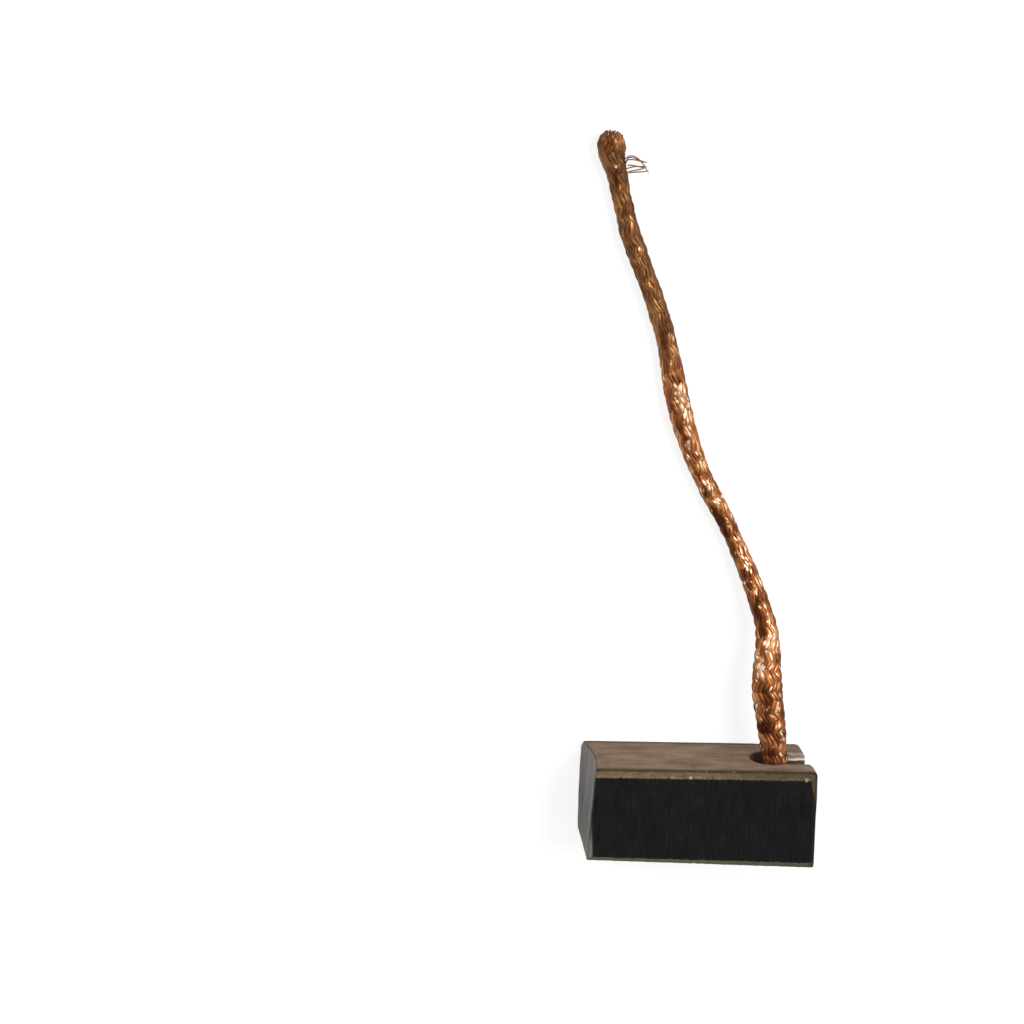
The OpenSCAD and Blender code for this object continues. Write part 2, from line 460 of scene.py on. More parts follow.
class BlockShape:
    """The block as distances in millimetres, negative inside the material. The real one
    is a little out of true, and the plain numbers in its fields say by how much."""

    FAR = -9.0  # a field's value where its surface doesn't reach
    POINT = math.tan(math.radians(59))  # slope of the drill's point
    BIG_CHIPS = ((10.35, 4.4, 10.08, 0.3), (11.5, 5.2, 3.3, 0.5), (11.6, 5.1, 6.8, 0.35),
                 (-11.7, -5.0, 9.0, 0.3))  # by two corners and the slot's mouth

    def __init__(self, sizes):
        self.half_x = sizes.block_length / MM / 2
        self.half_y = sizes.block_width / MM / 2
        self.mid_z = sizes.block_thickness / MM / 2
        self.bevel = sizes.bevel / MM
        self.corner = sizes.corner_radius / MM
        self.wear = sizes.wear_radius / MM
        self.hole_r = sizes.hole_diameter / MM / 2
        self.hole_x = sizes.hole_place / MM
        self.tip_y = -sizes.hole_tip / MM
        self.slot_r = sizes.slot_width / MM / 2
        self.slot_y = self.half_y - sizes.slot_depth / MM + self.slot_r
        self.soft = sizes.edge_softness / MM
        self.chips = self.scatter(sizes.chips)

    def scatter(self, count):
        """Centres and radii of small chips, drawn with a fixed seed. Two in three lie on
        the long edges, at either line of the bevel, and the rest on the slot's rims."""
        rng = np.random.default_rng(11)
        x = rng.uniform(-self.half_x, self.half_x, count)
        kind = rng.integers(0, 6, count)
        y_sign = np.where(kind % 2 == 0, 1.0, -1.0)
        z_side = np.where(kind % 4 < 2, 0.0, 2 * self.mid_z)
        y = y_sign * (self.half_y - self.bevel * rng.choice([0, 1], count))
        z = z_side + np.where(z_side > 0, -1, 1) * self.bevel * rng.choice([0, 1], count)
        rim = kind >= 4
        x = np.where(rim, rng.uniform(self.hole_x, self.half_x, count), x)
        y = np.where(rim, self.half_y, y)
        z = np.where(rim, self.mid_z + self.slot_r * rng.choice([-1, 1], count), z)
        size = rng.uniform(0.05, 0.17, count)
        return np.vstack([np.stack([x, y, z, size], 1), self.BIG_CHIPS])

    def long_edges(self, x, y, up):
        """The sides, as planes, and the bevels, as planes too: |y| + |up| less a constant,
        over root 2. The near side leans out towards the spring end, and its upper bevel
        has its own line, worn ragged like the far upper one. The lower ones are narrower."""
        near = y < 0
        rag = 0.03 * np.sin(2.9 * x + 1.0) * np.sin(1.1 * x + 2.0) + 0.02 * np.sin(7.3 * x)
        side = np.where(near, -y - self.half_y - 0.12 - 0.025 * x, y - self.half_y - 0.03)
        width = np.where(up > 0, self.bevel + rag, 0.7 * self.bevel)
        bevel = np.abs(y) + np.abs(up) - (self.half_y + self.mid_z - width)
        worn = -y - 4.56 - 0.015 * x + up - self.mid_z + rag
        return side, np.where(near & (up > 0), worn, bevel) / 2 ** 0.5

    def spring_end(self, x, y, z, side):
        """The spring end, a plane that stands out at the top, falls back to the foot and
        comes out again on the near side; the bevels of its long edges, wider near the
        drilled side; and its upright corners, each the power 2.4 distance from a line,
        less a radius that is smallest on the near side."""
        up = z - self.mid_z
        rear = x - self.half_x + 0.3 - 0.045 * z + 0.025 * np.minimum(y, 0) + 0.16 * ease(
            (5.5 - z) / 2)
        edge = rear + np.abs(up) - self.mid_z + 0.33 + 0.38 * ease((y - 1.8) / 2.6)
        power = 2.4
        radius = np.where(y < 0, 0.42, np.where(up > 0, 0.95, 1.12)) * self.corner
        corner = (np.maximum(rear + radius, 0) ** power
                  + np.maximum(side + radius, 0) ** power) ** (1 / power) - radius
        return rear, edge / 2 ** 0.5, corner

    def worn_end(self, x, y, z):
        """The worn end, the graph of a shallow arc that is deepest at mid height and grows
        towards the drilled side, with an uneven lip and a corner worn off at that side's
        foot; and the slanting facet that is worn along its top."""
        up = z - self.mid_z
        level, tall = y / self.half_y, up / self.mid_z
        sag = np.sqrt(self.wear ** 2 - np.minimum(up ** 2, 400)) - np.sqrt(
            self.wear ** 2 - self.mid_z ** 2)
        lip = -0.14 + 0.06 * level + 0.07 * tall + 0.13 * level * tall - 0.09 * (
            1 - level ** 2) * (1 - tall) / 2
        foot = 0.4 * ease((y - 4.1) / 1.0) * ease((1.4 - z) / 2.6)
        ripple = 0.015 * np.sin(2.1 * y) * np.sin(1.7 * z + 0.5)
        worn = -self.half_x + sag * (1.15 + 1.05 * level) + lip + foot + ripple - x
        turn = 0.3 * ease((0.5 - y) / 5.0)
        return worn, (-11.62 + turn - x) * 0.57 + (up - self.mid_z) * 0.82

    def cuts(self, x, y, up):
        """The hole, its radius less the distance to its axis, ended by the drill's cone, and
        the slot, its radius less the distance to the axis of its round bottom."""
        axis = np.hypot(x - self.hole_x, up)
        hole = np.minimum(self.hole_r - axis, y - (self.tip_y + axis / self.POINT))
        slot = self.slot_r - np.hypot(np.minimum(y - self.slot_y, 0), up)
        return hole, np.where(x > self.hole_x, slot, self.FAR)

    def fields(self, x, y, z):
        """One field per surface. The pressed faces are planes, and a shallow ripple of
        sines runs over them, the sides and the spring end."""
        up = z - self.mid_z
        ripple = 0.01 * np.sin(1.3 * x + 0.7 * z) * np.sin(0.9 * y + 1.1 * z + 0.6 * x)
        side, bevel = self.long_edges(x, y, up)
        rear, rear_edge, corner = self.spring_end(x, y, z, side)
        wear, facet = self.worn_end(x, y, z)
        hole, slot = self.cuts(x, y, up)
        return dict(side=side + ripple, pressed=np.abs(up) - self.mid_z + ripple * 0.5,
                    end=rear + ripple, bevel=bevel, rear_edge=rear_edge, facet=facet,
                    corner=corner, wear=wear, hole=hole, slot=slot)

    def chipped(self, x, y, z):
        """How far inside the nearest chip a point lies. Chips are balls, and the places
        are shifted by small sines first, which makes them ragged."""
        depth = np.full(np.shape(x), self.FAR)
        x, y, z = x + 0.06 * np.sin(11 * y + 7 * z), y + 0.05 * np.sin(13 * x), z + 0.05 * (
            np.sin(9 * x + 5 * y))
        for cx, cy, cz, radius in self.chips:
            depth = np.maximum(depth, radius - np.sqrt(
                (x - cx) ** 2 + (y - cy) ** 2 + (z - cz) ** 2))
        return depth

    def whole(self, x, y, z):
        """The block's own field: the soft greatest of all its surfaces and its chips."""
        made = list(self.fields(x, y, z).values())
        return soft_max(made + [self.chipped(x, y, z)], self.soft)


def steps(*spans):
    """Grid places along one axis from (start, end, step) spans that follow each other."""
    made = [np.linspace(a, b, max(1, round((b - a) / s)), endpoint=False) for a, b, s in spans]
    return np.concatenate(made + [[spans[-1][1]]])


def net(field, axes):
    """The surface where a field on a grid is nought. Each cell that it crosses gets one
    point, the mean of the crossings on the cell's twelve edges, and each crossed grid edge
    gets the quad of the four cells round it, wound to face the positive side."""
    inside = field < 0
    cells = tuple(n - 1 for n in field.shape)
    total, count = np.zeros(cells + (3,)), np.zeros(cells)
    quads = []
    grid = np.meshgrid(*axes, indexing="ij")
    crossings = []
    for a in range(3):
        low = [slice(None)] * 3
        high = [slice(None)] * 3
        low[a], high[a] = slice(None, -1), slice(1, None)
        low, high = tuple(low), tuple(high)
        crossed = inside[low] != inside[high]
        share = np.where(crossed, field[low] / np.where(crossed, field[low] - field[high], 1), 0)
        spot = [g[low] + share * (g[high] - g[low]) for g in grid]
        b, c = (a + 1) % 3, (a + 2) % 3
        for db in (0, 1):
            for dc in (0, 1):
                near = [slice(None)] * 3
                near[b], near[c] = slice(db, cells[b] + db), slice(dc, cells[c] + dc)
                near = tuple(near)
                here = crossed[near]
                count += here
                for k in range(3):
                    total[..., k] += here * spot[k][near]
        crossings.append((a, b, c, crossed, inside[low]))
    used = count > 0
    number = np.full(cells, -1)
    number[used] = np.arange(used.sum())
    for a, b, c, crossed, outward in crossings:
        at = np.argwhere(crossed)
        at = at[(at[:, b] > 0) & (at[:, c] > 0) & (at[:, b] < cells[b]) & (at[:, c] < cells[c])]
        ring = []
        for db, dc in ((1, 1), (0, 1), (0, 0), (1, 0)):
            cell = at.copy()
            cell[:, b] -= db
            cell[:, c] -= dc
            ring.append(number[tuple(cell.T)])
        ring = np.stack(ring, 1)
        turned = ~outward[tuple(at.T)]
        ring[turned] = ring[turned][:, ::-1]
        quads.append(ring)
    return total[used] / count[used][:, None], np.vstack(quads)


def settle(points, field, rounds=3, step=0.005, farthest=0.06, flattest=0.2):
    """Moves points onto the zero of a field: point less value times slope over slope
    squared, with the slope from central differences. No move is farther than farthest
    along an axis, and no slope squared counts as less than flattest."""
    for _ in range(rounds):
        value = field(*points.T)
        slope = np.stack([
            field(*(points + shift).T) - field(*(points - shift).T)
            for shift in np.eye(3) * step], 1) / (2 * step)
        move = slope * (value / np.maximum((slope ** 2).sum(1), flattest))[:, None]
        points = points - np.clip(move, -farthest, farthest)
    return points


class BRUSH_OT_block(bpy.types.Operator):
    """Build the worn carbon block with its hole, slot, bevels and chips"""
    bl_idname = "brush.block"
    bl_label = "Carbon block"

    def execute(self, context):
        shape = BlockShape(context.scene.brush_block)
        # Grid places in millimetres, closest together where there are edges and cuts.
        axes = (
            steps((-12.7, -10.7, 0.1), (-10.7, 4.7, 0.24), (4.7, 12.0, 0.1)),
            steps((-5.4, -4.0, 0.1), (-4.0, 2.4, 0.22), (2.4, 3.9, 0.14), (3.9, 5.4, 0.1)),
            steps((-0.4, 1.0, 0.1), (1.0, 2.6, 0.2), (2.6, 7.4, 0.11), (7.4, 9.0, 0.2),
                  (9.0, 10.4, 0.1)),
        )
        points, quads = net(shape.whole(*np.meshgrid(*axes, indexing="ij")), axes)
        points = settle(points, shape.whole)
        piece = make_piece("block", points * MM, quads,
                           carbon_finish(context.scene.brush_finishes))
        self.mark(piece, shape, points)
        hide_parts("carbon_block")
        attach(piece, "root")
        return {"FINISHED"}

    @staticmethod
    def mark(piece, shape, points):
        """Tells the material which surface each point lies on: 1 where a surface's field is
        the greatest, and less by a bell curve of the gap where it isn't."""
        made = shape.fields(*points.T)
        top = np.maximum.reduce(list(made.values()))

        def close(name, width=0.07):
            return np.exp(-((top - made[name]) / width) ** 2)

        bevel, slot, wide = close("bevel"), close("slot"), 0.17
        chip = ease(shape.chipped(*points.T) / 0.05 + 1)
        edge = np.maximum.reduce([bevel, close("rear_edge") * 0.8, chip * 0.8])
        worn = np.maximum(close("wear"), close("facet")) * (1 - 0.5 * edge)
        paint(piece, "finish", np.stack([close("pressed") * (1 - bevel), edge, worn], 1))
        paint(piece, "scar", chip)
        paint(piece, "seam", close("wear", wide) * np.maximum(
            close("side", wide), close("pressed", wide)))
        paint(piece, "cut", slot)
        # Where the hole's painted shade goes
        paint(piece, "bore_shade", close("hole") * (1 - slot))
        # How far up its bevel a point lies: only the drilled side's bevels get painted glint
        # specks near the top, and the near side's are one tone all over. On the near side this
        # value also lays the painted shade band over its faces in full.
        y, up = points[:, 1], np.abs(points[:, 2] - shape.mid_z)
        even = 0.6
        top_rise = even + (1 - even) * ease((y + 1) / 2)
        rise = np.clip((up - shape.mid_z) / shape.bevel + 1, -1.3, top_rise)
        paint(piece, "rise", rise + (even - rise) * ease((-1.6 - y) / 3))


class BRUSH_OT_powder(bpy.types.Operator):
    """Give the tamped copper powder its grains"""
    bl_idname = "brush.powder"
    bl_label = "Tamped powder"

    def execute(self, context):
        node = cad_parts["tamped_powder"]
        node.data.materials.clear()
        node.data.materials.append(powder_finish(context.scene.brush_finishes))
        return {"FINISHED"}


# ---- the pigtail ----

def follow(route, spacing):
    """The route as evenly spaced points in millimetres: cubic curves whose slope at each
    given point is half the step from the point before to the point after, then resampled
    by length. Returns the points and the length along the route."""
    p = np.array(route) / MM
    p = np.vstack([2 * p[0] - p[1], p, 2 * p[-1] - p[-2]])
    samples = 4000
    t = np.linspace(0, len(route) - 1 - 1e-9, samples)
    i = t.astype(int)
    t = (t - i)[:, None]
    a, b, c, d = p[i], p[i + 1], p[i + 2], p[i + 3]
    line = 0.5 * (2 * b + (c - a) * t + (2 * a - 5 * b + 4 * c - d) * t ** 2
                  + (3 * b - a - 3 * c + d) * t ** 3)
    run = np.concatenate([[0], np.cumsum(np.linalg.norm(np.diff(line, axis=0), axis=1))])
    even = np.linspace(0, run[-1], int(run[-1] / spacing) + 1)
    return np.stack([np.interp(even, run, line[:, k]) for k in range(3)], 1), even


def tube_quads(rows, count, tubes=1):
    """Quads of closed tubes of rows rings with count points each: every ring joins the
    next, and a lid of quads shuts each end, wound outwards."""
    number = np.arange(rows * count).reshape(rows, count)
    side = np.roll(number, -1, axis=1)
    wall = np.stack([number[:-1], side[:-1], side[1:], number[1:]], -1).reshape(-1, 4)
    k = np.arange(count // 2 - 1)
    lid = np.stack([k, k + 1, count - 2 - k, count - 1 - k], 1)
    one = np.vstack([wall, number[0][lid][:, ::-1], number[-1][lid]])
    return (one + np.arange(tubes)[:, None, None] * number.size).reshape(-1, 4)


def fitted(run, end, stops, sizes):
    """Sizes given at stops along the braid, with straight lines between them, and
    stretched where the braid's end isn't at the last stop."""
    return np.interp(run, np.array(stops) * end / stops[-1], sizes)


def girth(run, end):
    """The braid's half width along its length in millimetres: full where it leaves the
    block, slack and thin where it hangs, and thick again at the frayed end."""
    return fitted(run, end,
                  [0, 6, 9, 13, 14, 17, 21, 30, 35, 37, 42, 47, 52, 60, 62, 68, 70.5, 72.5, 74.5],
                  [1.2, 1.32, 1.49, 1.63, 1.63, 1.39, 1.1, 0.91, 1.02, 0.98, 1.2, 1.24, 1.04,
                   1.03, 1.1, 0.97, 1.13, 1.48, 1.5])


def sway(run, end):
    """How far the braid lies beside its route in millimetres, towards the spring end."""
    return fitted(run, end, [0, 6, 7.4, 8.8, 11, 64, 65.5, 67.2, 68.8, 70.4, 72.1, 73.6, 74.5],
                  [0, -0.05, -0.42, -0.25, 0, 0, 0.12, 0.16, 0.24, 0.3, 0.22, 0.5, 0.65])


class BraidShape:
    """The braid in millimetres: flat bundles, half of them wound each way, over and under
    each other, each of two strands side by side. Arrays have a row for each strand and a
    column for each place along the route."""

    MEMBERS = 2  # strands in a bundle
    SIDES = 6  # points round a strand
    CORE_SIDES = 8
    SLIM = 0.5  # least radius that an angle is worked out with

    def __init__(self, sizes, line, run, half):
        self.line, self.run, self.half, self.end = line, run, half, run[-1]
        self.ways, self.thick = sizes.bundles, sizes.bundle_thickness / MM
        self.count = 2 * self.ways * self.MEMBERS
        self.rng = np.random.default_rng(4)
        tangent = unit(np.gradient(line, axis=0))
        self.across = unit(np.cross(tangent, [0, 0, 1.0]))
        self.over = np.cross(self.across, tangent)
        self.bundle = np.arange(self.count) // self.MEMBERS
        self.seat = (np.arange(self.count) % self.MEMBERS - (self.MEMBERS - 1) / 2)[:, None]
        self.hand = np.repeat([1.0, -1.0], self.count // 2)[:, None]
        around = np.linspace(0, 2 * np.pi, self.SIDES, endpoint=False)
        self.flat, self.crown = np.cos(around), np.sin(around)
        self.wind(sizes)

    def strand_waves(self, longest, shortest):
        """A smooth random line for each strand."""
        return waves(self.rng, self.run, self.count, longest, shortest)

    def bundle_waves(self, longest, shortest):
        """A smooth random line for each bundle, the same for all its strands."""
        return waves(self.rng, self.run, 2 * self.ways, longest, shortest)[self.bundle]

    def wind(self, sizes):
        """With n bundles a way, a bundle's middle is at angle +-2 pi (length / lay) +
        2 pi k / n and at radius middle +- rise x cos(2 pi n length / lay). At the cut end
        the radius closes as a dome, and a cleft parts it."""
        first = (self.bundle % self.ways * 2 * np.pi / self.ways)[:, None]
        reach = (self.run[None] / self.end) * (
            self.end - self.rng.uniform(0, 0.6, (self.count, 1)))
        turns = reach / (sizes.lay / MM) + 0.05 * waves(self.rng, self.run, 1, 60, 20)
        wide = np.interp(reach, self.run, self.half)
        full = wide / 1.1
        rise = (0.065 + 0.025 * self.bundle_waves(21, 6)) * full
        ring = wide - rise - self.thick / 2 - 0.03 * self.seat ** 2
        ring = ring + 0.03 * self.strand_waves(6, 1.2) + 0.04 * self.bundle_waves(11, 2.5)
        self.crossing = self.hand * np.cos(2 * np.pi * self.ways * turns)
        ring = ring + rise * self.crossing
        self.pitch = sizes.bundle_width / MM / self.MEMBERS * (
            1 + 0.15 * self.bundle_waves(9, 3)) * full
        angle = self.hand * 2 * np.pi * turns + first + 0.1 * self.bundle_waves(17, 4)
        angle = angle + (self.seat * self.pitch + 0.05 * self.strand_waves(5, 1.5)) / (
            np.maximum(ring, self.SLIM))
        dome = np.clip((reach - (self.end - 1.5)) / 1.5, 0, 1)
        self.tip = ease((reach - (self.end - 3.5)) / 3.0)
        self.cleft = self.tip * np.exp(-(np.sin(angle / 2 - np.pi / 4) / 0.22) ** 2)
        self.ring = ring * np.sqrt(1 - 0.96 * dome ** 2) * (1 - 0.16 * self.cleft)
        self.reach, self.turns, self.angle = reach, turns, angle

    def spoke(self, angle):
        """Steps of one millimetre out from the route, at an angle round it."""
        return (np.cos(angle)[..., None] * self.across[:, None]
                + np.sin(angle)[..., None] * self.over[:, None])

    def strands(self):
        """Points of the strands, and how far along and across the braid each lies. A
        strand's section is an oval bent round the cord, and shuts at both ends."""
        shut = np.sqrt(np.clip(1 - ease((self.run - self.end + 0.6) / 0.6) ** 2, 0, 1))
        shut = np.maximum(shut * np.sqrt(np.clip(self.run / 0.3, 0, 1)), 0.001)[:, None]
        width = (0.62 * self.pitch * (1 + 0.12 * self.strand_waves(4, 1.2)))[..., None]
        height = self.thick / 2 * self.crown * shut * (
            1 + 0.1 * self.strand_waves(3, 0.8))[..., None]
        ring = self.ring[..., None]
        angle = self.angle[..., None] + width * self.flat * shut / np.maximum(ring, self.SLIM)
        middle = np.stack([np.interp(self.reach, self.run, self.line[:, k])
                           for k in range(3)], -1)
        points = middle[:, :, None] + (ring + height)[..., None] * self.spoke(angle)
        points[..., 2] = np.maximum(points[..., 2], 0)
        lanes = np.broadcast_arrays(self.run[:, None], width * self.flat
                                    + np.arange(self.count)[:, None, None])
        return points, np.stack(lanes, -1)

    def core(self):
        """Points of the plain tube inside that shuts the gaps between strands."""
        radius = (self.half - self.thick * 1.1) * np.sqrt(np.clip(
            np.minimum(self.run / 0.3, (self.end - 0.12 - self.run) / 1.3), 1e-6, 1))
        turn = np.linspace(0, 2 * np.pi, self.CORE_SIDES, endpoint=False)
        return self.line[:, None] + radius[:, None, None] * self.spoke(turn)

    def painted_highlights_and_shade(self):
        """Painted highlights and spots of painted shade on the braid's upper side: each is a bell
        curve along the braid times one across it. They follow each other evenly and are shaken by
        chance.
        Highlights keep to the middle, longer and weaker near the cut end, and shade spots to the
        side towards the worn end."""
        rng = np.random.default_rng(17)
        count = 100
        spot = np.linspace(6, self.end, count) + rng.uniform(-0.6, 0.6, count)
        late = ease((spot - 50) / 6)
        highlit = rng.random(count) < 0.68
        side = np.where(highlit, 0.1 + 0.4 * rng.standard_normal(count),
                        -0.4 + 0.25 * rng.standard_normal(count))
        span = np.where(highlit, rng.uniform(0.25, 0.75, count) * (1 + 0.5 * late),
                        rng.uniform(0.6, 1.3, count))
        gain = np.where(highlit, rng.uniform(0.3, 0.58, count), -rng.uniform(0.15, 0.38, count))
        gain = gain * (1 - 0.55 * late)
        breadth = np.where(highlit, 0.17, 0.27)
        upper, right = np.sin(self.angle)[..., None] > 0, np.cos(self.angle)[..., None]
        bell = upper * gain * np.exp(-((self.reach[..., None] - spot) / span) ** 2
                                     - ((right - side) / breadth) ** 2)
        return np.clip(bell, 0, None).max(-1), np.clip(-bell, 0, None).sum(-1)

    def tones(self):
        """How bright each point is and how readily it takes a painted glint, from 0 to about 1.
        Each float, a bundle's stretch on top between two others, has a tone drawn at random. The
        general tone, its contrast and the side that gets painted light change along the route;
        the top is painted darker, stripes of painted light and shade run at fixed angles round
        the cord, and the end is painted lit on one side and shaded in its cleft. This comes after
        strands(), because both draw from one generator."""
        run, end, seat, floats = self.run, self.end, np.abs(self.seat), 90
        number = np.floor(self.ways * self.turns + np.where(self.hand > 0, 0.5, 0.0))
        drawn = self.rng.choice([-0.3, -0.14, 0.0, 0.06, 0.17],
                                (2 * self.ways, floats))[self.bundle]
        drawn = drawn + self.rng.uniform(-0.06, 0.06, (self.count, floats))
        own = np.take_along_axis(drawn, number.astype(int), 1)
        own = own + 0.05 * seat - 0.04 + 0.12 * self.strand_waves(4, 1.0)
        above, right = np.clip(np.sin(self.angle), 0, 1), np.cos(self.angle)
        # lean: how much the right side is painted lighter and the left darker, along the route
        lean = np.interp(run, [0, 20, 26, 40, 46, 54, 66, end],
                         [0, 0, 0.14, 0.12, 0, -0.12, -0.1, 0.05])
        # column: stripes of painted light and shade at fixed angles round the cord
        column = np.cos(4 * (self.angle - 1.05))
        share = np.interp(run, [0, 12, 18, end], [0.22, 0.18, 0.09, 0.07])
        # The top of the braid is painted darker; lean and column add the painted side light and
        # stripes
        own = own - 0.08 * above ** 4 + 0.04 * self.crossing + lean * right + share * column
        fade = np.interp(run, [0, 7.4, 10.5, 14.9, 20.1, 26.2, 33, 38.8, 43.6, 49.5, 56.5, end],
                         [0.09, 0.09, -0.07, 0.03, 0.06, 0, 0, 0.12, 0.08, 0.11, 0, 0])
        lively = np.interp(run, [0, 10, 14, 34, 46, 54, 64, 68, end],
                           [1.4, 1.2, 1.1, 1.2, 1.1, 0.6, 0.5, 0.9, 0.8])
        # glow: painted light on one side of the cut end
        glow = self.tip * np.clip(np.cos(self.angle - 0.5), 0, 1) ** 3
        shine, painted_shade_spots = self.painted_highlights_and_shade()
        # The cleft and the shade spots are painted shade; the highlight spots are painted
        # highlights
        tone = (0.5 + fade + 0.6 * lively * own + 0.2 * glow - 0.25 * self.cleft - painted_shade_spots
                + shine * np.interp(run, [0, 50, 55, end], [0.7, 0.7, 1.3, 1.4]))
        # A stronger painted glint on the lit right side, on top and along the columns
        glint = np.clip(0.38 + 0.4 * self.crossing + 0.25 * seat + 0.4 * right
                        + 0.2 * above + 1.5 * share * column, 0, 1.2)
        glint = glint * np.interp(run, [0, 26, 34, 40, 48, 54, end],
                                  [0.8, 0.8, 0.7, 0.8, 0.8, 0.2, 0.25])
        glint = glint + 0.3 * glow + shine * np.interp(
            run, [0, 9, 11, 50, 55, end], [2.9, 2.9, 2.6, 2.6, 0.7, 0.8])
        # Strand edges and undersides are darker: painted shade between the strands. The glint, a
        # painted highlight, keeps to their upper sides.
        return (tone[..., None] - 0.13 * np.abs(self.flat) ** 3 - 0.2 * (self.crown < -0.1),
                glint[..., None] * (self.crown > 0) * (1 - 0.3 * self.flat ** 2))


class BRUSH_OT_pigtail(bpy.types.Operator):
    """Braid the pigtail along its route and fray its cut end"""
    bl_idname = "brush.pigtail"
    bl_label = "Pigtail"

    SPACING = 0.225  # millimetres from one ring of a strand to the next
    CLEAR = 1.02  # least height of the braid's middle, in half widths
    PATH_STEP = 11  # rings from one point of the declared path to the next

    def execute(self, context):
        sizes = context.scene.brush_pigtail
        finish = copper_finish(context.scene.brush_finishes)
        line, run = follow(ROUTE, self.SPACING)
        end = run[-1]
        half = girth(run, end)
        line[:, 0] += sway(run, end)
        line[:, 2] = np.maximum(line[:, 2], half * self.CLEAR)
        braid = self.braid(BraidShape(sizes, line, run, half), finish)
        tuft = self.tuft(sizes, line, run, half, finish)
        for piece in (braid, tuft):
            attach(piece, "root")
        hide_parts("pigtail")
        return {"FINISHED"}

    @staticmethod
    def braid(shape, finish):
        """The strands and their core as one piece, with its tones painted on."""
        points, lanes = shape.strands()
        tone, glint = shape.tones()
        core = shape.core().reshape(-1, 3)
        rows = len(shape.run)
        quads = np.vstack([tube_quads(rows, shape.SIDES, shape.count),
                           tube_quads(rows, shape.CORE_SIDES) + tone.size])
        points = np.vstack([points.reshape(-1, 3), core])
        lanes = np.vstack([lanes.reshape(-1, 2), np.zeros((len(core), 2))])
        piece = make_piece("pigtail_braid", points * MM, quads, finish)
        paint(piece, "tone", np.append(tone, np.full(len(core), 0.3)))
        paint(piece, "glint", np.append(glint, np.zeros(len(core))))
        paint(piece, "dull", ease((points[:, 1] - 41) / 8))
        layer = piece.data.uv_layers.new(name="lay")
        layer.data.foreach_set("uv", lanes[quads.ravel()].astype(np.float32).ravel())
        return piece

    @staticmethod
    def stubs(line, half):
        """The cut wires that fill the braid's end: each runs with the braid for its last
        millimetre and a half, closing in and ending at a depth drawn at random."""
        rng = np.random.default_rng(9)
        count, run = 90, 1.5
        along = unit(line[-1] - line[-5])
        across = unit(np.cross(along, [0, 0, 1.0]))
        over = np.cross(across, along)
        radius = half[-1] * 0.74 * np.sqrt(rng.uniform(0, 1, count))
        angle = rng.uniform(0, 2 * np.pi, count)
        top = 0.06 - 0.42 * (radius / half[-1]) ** 2 - rng.uniform(0, 0.16, count)
        step = np.linspace(0, 1, 4)[None, :, None]
        out = np.cos(angle)[:, None] * across + np.sin(angle)[:, None] * over
        stray = rng.normal(0, 0.07, (count, 1, 3)) * step ** 2
        return (line[-1] + along * (-run + (run + top[:, None, None]) * step)
                + out[:, None] * radius[:, None, None] * (1.1 - 0.22 * step ** 2) + stray)

    @staticmethod
    def loose(line, run, half):
        """The loose wires near the cut end, each as four points. They leave the braid's
        spring-end side together, fan out along it as they rise in an arch, sink again and
        cross each other towards tips whose places chance decides."""
        rng = np.random.default_rng(5)
        place, count = 70.3, 7
        at = np.searchsorted(run, place)
        along = unit(line[at + 3] - line[at - 3])
        across = np.cross(along, [0, 0, 1.0])
        fan = np.linspace(-1, 1, count)[:, None]
        out = half[at] + np.array([-0.15, 0.5, 1.25, 1.95])
        shift = fan * [0.8, 1.05, 0.8, 0] + [0, 0.25, -0.1, -0.75]
        shift[:, 3] += rng.permutation(np.linspace(-0.7, 0.7, count))
        lift = fan * [0.4, 0.5, 0.5, 0.1] + [0.3, 0.7, 0.2, -0.5]
        points = (line[at] + out[None, :, None] * across + shift[..., None] * along
                  + lift[..., None] * [0, 0, 1])
        return points + rng.normal(0, 0.12, points.shape)

    def tuft(self, sizes, line, run, half, finish):
        """Loose wires and the cut wires of the end: thin round tubes. A wire's middle line
        is the cubic curve through four points, and its section a circle across it."""
        loose = self.loose(line, run, half)
        stubs = self.stubs(line, half)
        wires = np.concatenate([loose, stubs])
        t = np.linspace(0, 1, 13)
        share = np.vander(t, 4) @ np.linalg.inv(np.vander(np.linspace(0, 1, 4), 4))
        middle = np.einsum("tk,wkc->wtc", share, wires)
        tangent = unit(np.gradient(middle, axis=1))
        first = unit(np.cross(tangent, [0.1, 0.2, 1.0]))
        second = np.cross(first, tangent)
        turn = np.linspace(0, 2 * np.pi, 6, endpoint=False)[:, None]
        shut = np.sqrt(np.clip(1 - (2 * t - 1) ** 8, 0.02, 1))[:, None, None]
        points = middle[:, :, None] + sizes.wire / MM / 2 * shut * (
            np.cos(turn) * first[:, :, None] + np.sin(turn) * second[:, :, None])
        tones = np.append(np.full(len(loose), 0.54),
                          np.random.default_rng(2).uniform(0.3, 0.85, len(stubs)))
        rows, sides = points.shape[1:3]
        points = points.reshape(-1, 3) * MM
        piece = make_piece("pigtail_loose_wires", points,
                           tube_quads(rows, sides, len(wires)), finish)
        paint(piece, "tone", np.repeat(tones, rows * sides))
        paint(piece, "glint", np.zeros(len(points)))
        paint(piece, "dull", np.ones(len(points)))
        piece.data.uv_layers.new(name="lay")
        return piece


# ---- the stage ----

def aim(thing, place, right, back):
    """Puts a camera or a lamp at a place, with its own x and z axes as given, and links
    it to the scene."""
    turn = np.eye(4)
    turn[:3, :3] = np.stack([right, np.cross(back, right), back], 1)
    turn[:3, 3] = place
    bpy.context.scene.collection.objects.link(thing)
    thing.matrix_world = Matrix(turn.tolist())


